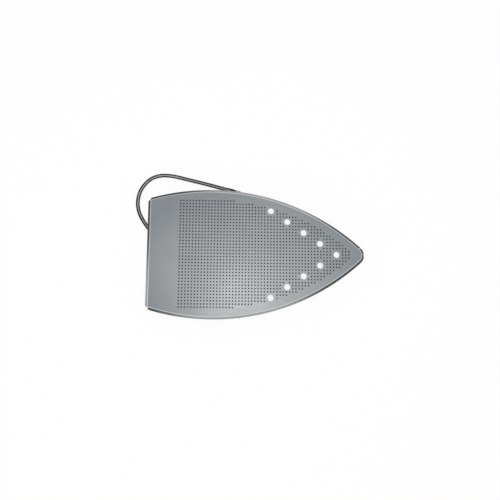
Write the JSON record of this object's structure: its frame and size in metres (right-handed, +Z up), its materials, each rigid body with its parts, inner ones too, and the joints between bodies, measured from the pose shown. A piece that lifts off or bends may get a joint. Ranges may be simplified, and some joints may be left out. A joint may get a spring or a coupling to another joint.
{
  "type": "iron shoe cover",
  "caption": "Clip-on perforated sole cover for a steam iron: pointed folded tray with a non-stick sole sheet and a coil spring that holds it round the iron's heel.",
  "frame": {"origin": "on the centre line half way along the shoe, in the plane of the side walls' free edge that it rests on", "axes": "+X to the nose, +Z up out of the sole face, +Y to the side whose wall carries the outer end of the spring"},
  "size_m": [0.2225, 0.1424, 0.013],
  "materials": {
    "tray": "folded sheet, satin",
    "sole_sheet": "grey filled PTFE, satin",
    "spring_wire": "dark drawn wire"
  },
  "bodies": {
    "root": {"tray": "tray", "sole_sheet": "sole_sheet", "retaining_spring": "spring_wire"}
  },
  "joints": []
}
